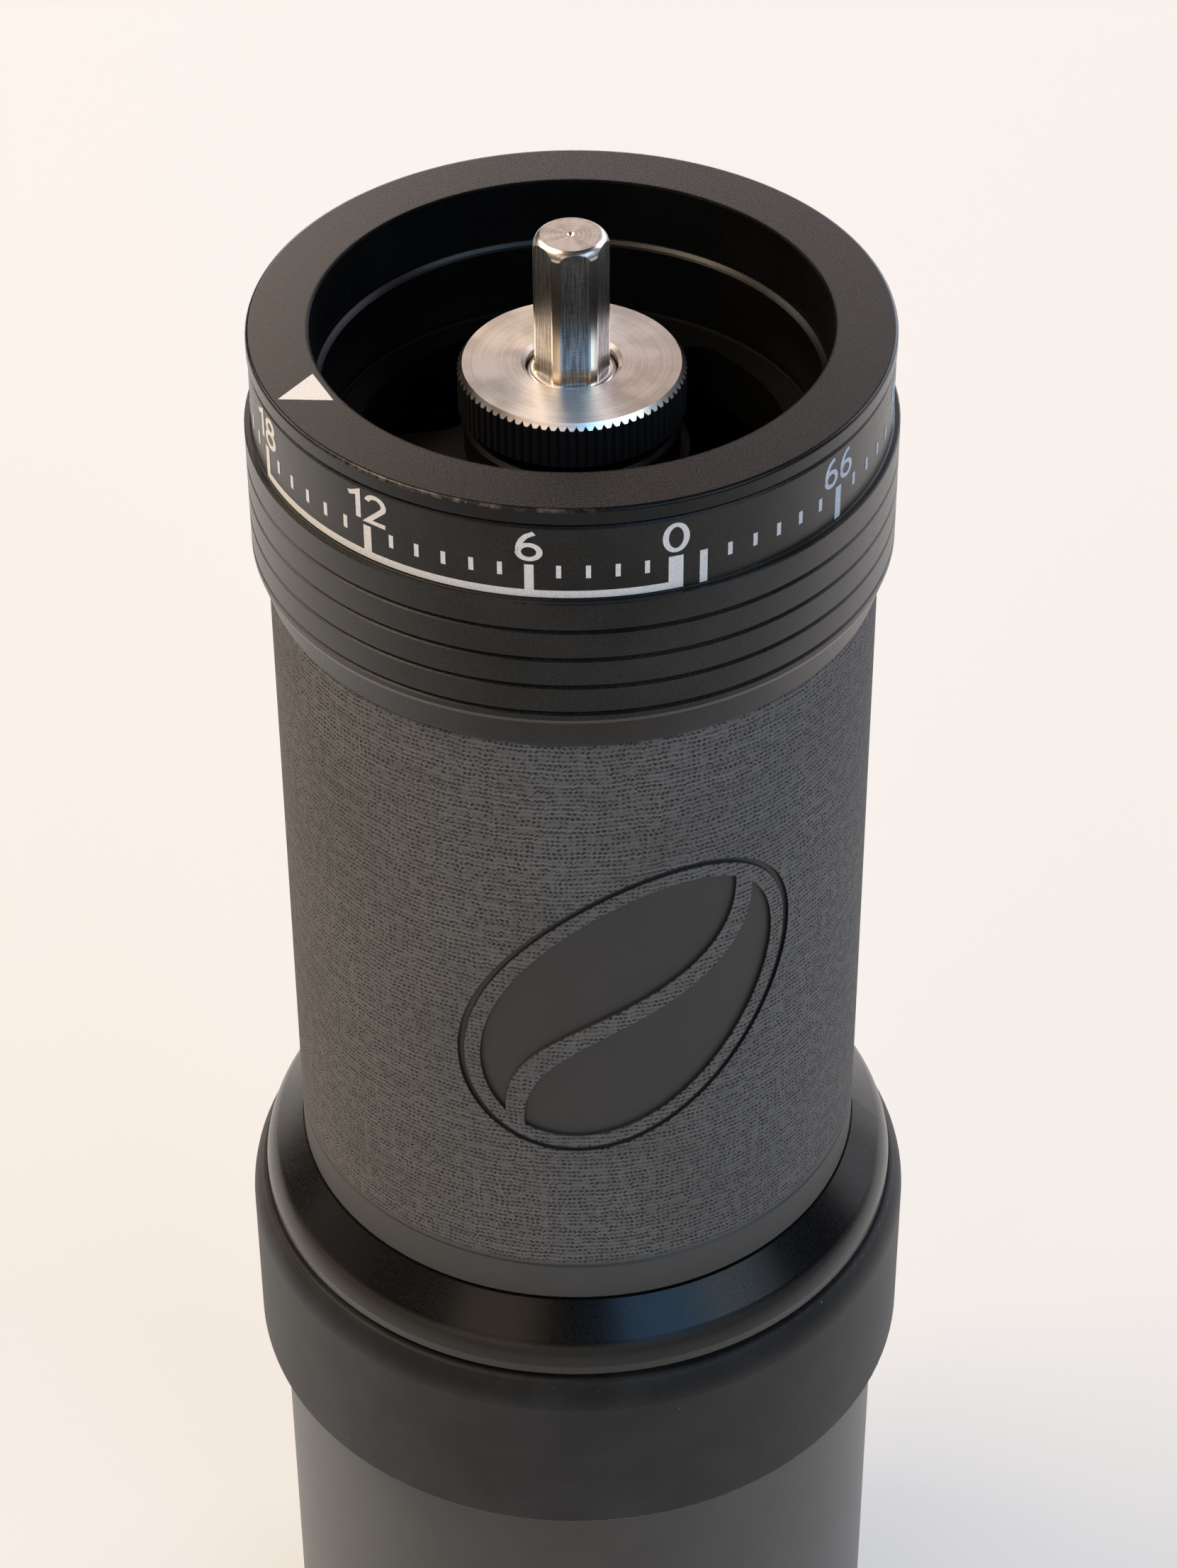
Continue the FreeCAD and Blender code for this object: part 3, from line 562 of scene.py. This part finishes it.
# Each digit is a set of pen strokes in a box one unit high; its width is given first.
DIGITS = {
    "0": (0.6, [arc(0.3, 0.5, 0.24, 0.43, 90, 450, 32)]),
    "1": (0.38, [[(0.03, 0.78), (0.15, 0.83), (0.3, 0.93), (0.3, 0.06)]]),
    "2": (0.58, [arc(0.29, 0.7, 0.23, 0.24, 165, -28) + [(0.06, 0.06), (0.55, 0.06)]]),
    "3": (0.56, [arc(0.26, 0.73, 0.2, 0.21, 150, -80) + arc(0.25, 0.29, 0.24, 0.235, 80, -150)]),
    "4": (0.62, [[(0.46, 0.06), (0.46, 0.94), (0.04, 0.3), (0.6, 0.3)]]),
    "5": (0.56, [[(0.5, 0.94), (0.14, 0.94), (0.1, 0.52)] + arc(0.26, 0.33, 0.25, 0.27, 125, -150)]),
    "6": (0.6, [[(0.42, 0.94)] + arc(0.52, 0.34, 0.45, 0.62, 125, 172, 8)
                + arc(0.3, 0.3, 0.235, 0.24, 180, -180, 28)]),
    "8": (0.58, [arc(0.29, 0.73, 0.19, 0.205, -90, 270, 26), arc(0.29, 0.28, 0.235, 0.235, 90, 450, 28)]),
}


def pen_stroke(path):
    """Both sides of a pen stroke along a path, as pairs of points."""
    points = [Vector(point) for point in path]
    closed = (points[0] - points[-1]).length < SAME_POINT
    sides = []
    for index, point in enumerate(points):
        before = points[index - 1] if index else (points[-2] if closed else None)
        after = points[index + 1] if index + 1 < len(points) else (points[1] if closed else None)
        into = (point - before if before else after - point).normalized()
        out = (after - point if after else point - before).normalized()
        normal = (into + out).orthogonal().normalized()
        half = STROKE / 2 / max(SHARPEST_MITRE, normal.dot(into.orthogonal()))
        sides.append((point + normal * half, point - normal * half))
    return sides


def print_number(vertices, faces, text, azimuth):
    """A number centred on an azimuth, reading from the outside."""
    widths = [DIGITS[digit][0] for digit in text]
    pen = -(sum(widths) + DIGIT_GAP * (len(text) - 1)) / 2
    degrees_each = math.degrees(DIGIT_HIGH / BAND_R) * CONDENSED.get(text, DIGIT_STRETCH)
    for digit, width in zip(text, widths):
        for path in DIGITS[digit][1]:
            print_strip(vertices, faces, [
                [(azimuth + (pen + x) * degrees_each, DIGIT_TOP + (1 - y) * DIGIT_HIGH) for x, y in pair]
                for pair in pen_stroke(path)])
        pen += width + DIGIT_GAP


def mark_of(click):
    """Width and foot of the mark at a click; the scale starts and ends at click 0, with a mark of its own."""
    if click == 0:
        return START_WIDE, SCALE_FOOT
    if click == ZERO_CLICK:
        return ZERO_WIDE, SCALE_FOOT
    if click % NUMBER_EVERY:
        return MINOR_WIDE, MINOR_FOOT
    return MAJOR_WIDE, MAJOR_FOOT if click <= BRACKET_CLICKS else SCALE_FOOT


def azimuth_of(click):
    return START_AZIMUTH - CLICK * click


def dial_scale():
    """The marks, and the line that brackets those of the first numbers."""
    vertices, faces = [], []
    for click in range(CLICKS):
        wide, foot = mark_of(click)
        box_mark(vertices, faces, azimuth_of(click) - wide / 2, azimuth_of(click) + wide / 2, TICK_TOP, foot)
    left = azimuth_of(BRACKET_CLICKS) - MAJOR_WIDE / 2
    right = azimuth_of(ZERO_CLICK) - ZERO_WIDE / 2
    box_mark(vertices, faces, left, right, MAJOR_FOOT, SCALE_FOOT)
    print_piece("dial_scale", vertices, faces)


def dial_numbers():
    vertices, faces = [], []
    for number in range(0, CLICKS, NUMBER_EVERY):
        print_number(vertices, faces, str(number), azimuth_of(number or ZERO_CLICK))
    print_piece("dial_numbers", vertices, faces)


dial_scale()
dial_numbers()


# ---- studio: floor, light and camera ----
def studio_floor():
    mesh = bpy.data.meshes.new("studio_floor")
    corners = [(x * FLOOR_HALF, y * FLOOR_HALF, 0) for x, y in ((-1, -1), (1, -1), (1, 1), (-1, 1))]
    mesh.from_pydata(corners, [], [(0, 1, 2, 3)])
    shader = Shader("studio_floor", Roughness=0.75, Base_Color=(0.42, 0.42, 0.42, 1.0),
                    Emission_Color=(0.43, 0.415, 0.4, 1.0), Emission_Strength=1.0,
                    Specular_IOR_Level=0.1)
    mesh.materials.append(shader.material)
    floor = bpy.data.objects.new("studio_floor", mesh)
    bpy.context.scene.collection.objects.link(floor)


def studio_world():
    """Pale backdrop that is only looked at; the panels and the floor alone give light."""
    world = bpy.data.worlds.new("studio")
    bpy.context.scene.world = world
    world.use_nodes = True
    world.node_tree.nodes["Background"].inputs["Color"].default_value = (0.497, 0.474, 0.451, 1.0)
    world.cycles_visibility.diffuse = False
    world.cycles_visibility.glossy = False


def panel(name, azimuths, heights, radiance):
    """Soft box that fills a patch of sky: azimuths and heights in degrees, as seen from the grinder."""
    azimuth = math.radians(sum(azimuths) / 2)
    height = math.radians(sum(heights) / 2)
    level = math.cos(height)
    way = Vector((math.sin(azimuth) * level, -math.cos(azimuth) * level, math.sin(height)))
    lamp = bpy.data.lights.new(name, "AREA")
    lamp.shape = "RECTANGLE"
    lamp.size = 2 * PANEL_AWAY * level * math.tan(math.radians(azimuths[1] - azimuths[0]) / 2)
    lamp.size_y = 2 * PANEL_AWAY * math.tan(math.radians(heights[1] - heights[0]) / 2)
    strongest = max(radiance)
    lamp.color = [channel / strongest for channel in radiance]
    lamp.energy = math.pi * lamp.size * lamp.size_y * strongest
    holder = bpy.data.objects.new(name, lamp)
    holder.visible_camera = False
    turn = (-way).to_track_quat("-Z", "Y").to_matrix().to_4x4()
    holder.matrix_world = Matrix.Translation(LIT_POINT + way * PANEL_AWAY) @ turn
    bpy.context.scene.collection.objects.link(holder)


def studio_lights():
    """Bright round the back and sides, dark overhead, a blue window at the right and a warm one at the left."""
    panel("right", (105, 135), (2, 24), (1.21, 1.13, 1.19))
    panel("right_high", (105, 135), (24, 46), (3.50, 3.28, 3.77))
    panel("right_back", (135, 165), (2, 28), (2.40, 2.80, 3.40))
    panel("back_dim", (165, 175), (2, 40), (1.17, 1.00, 1.03))
    panel("back", (175, 185), (14, 26), (5.42, 4.52, 4.27))
    panel("back_bright", (185, 197), (2, 26), (2.50, 2.80, 3.30))
    panel("back_bright_high", (185, 197), (26, 40), (3.22, 2.53, 1.92))
    panel("left_high", (225, 255), (24, 46), (5.85, 4.94, 4.16))
    panel("left_front", (255, 285), (2, 24), (0.60, 0.50, 0.42))
    panel("left_top", (250, 290), (46, 68), (14.67, 11.45, 7.75))
    panel("window", (15, 45), (26, 46), (1.50, 3.15, 5.51))
    panel("window_side", (45, 75), (26, 46), (3.70, 4.40, 5.00))
    panel("warm", (315, 345), (15, 28), (1.30, 1.05, 0.80))
    panel("warm_high", (315, 345), (28, 46), (2.60, 2.00, 1.50))
    panel("left_glint", (285, 310), (36, 52), (1.70, 1.50, 1.35))


def studio_camera():
    """Above the front, looking down the barrel, with a long lens."""
    forward = (CAMERA_AIM - CAMERA_PLACE).normalized()
    right = forward.cross(Vector((0, 0, 1))).normalized()
    above = right.cross(forward)
    tilted_right = right * math.cos(CAMERA_ROLL) + above * math.sin(CAMERA_ROLL)
    tilted_above = above * math.cos(CAMERA_ROLL) - right * math.sin(CAMERA_ROLL)
    turn = Matrix((tilted_right, tilted_above, -forward)).transposed().to_4x4()
    data = bpy.data.cameras.new("camera")
    data.lens = LENS_MM
    data.sensor_width = SENSOR_MM
    data.clip_start = CLIP_START
    camera = bpy.data.objects.new("camera", data)
    bpy.context.scene.collection.objects.link(camera)
    camera.matrix_world = Matrix.Translation(CAMERA_PLACE) @ turn
    bpy.context.scene.camera = camera


studio_floor()
studio_world()
studio_lights()
studio_camera()
bpy.context.scene.view_settings.view_transform = "Standard"
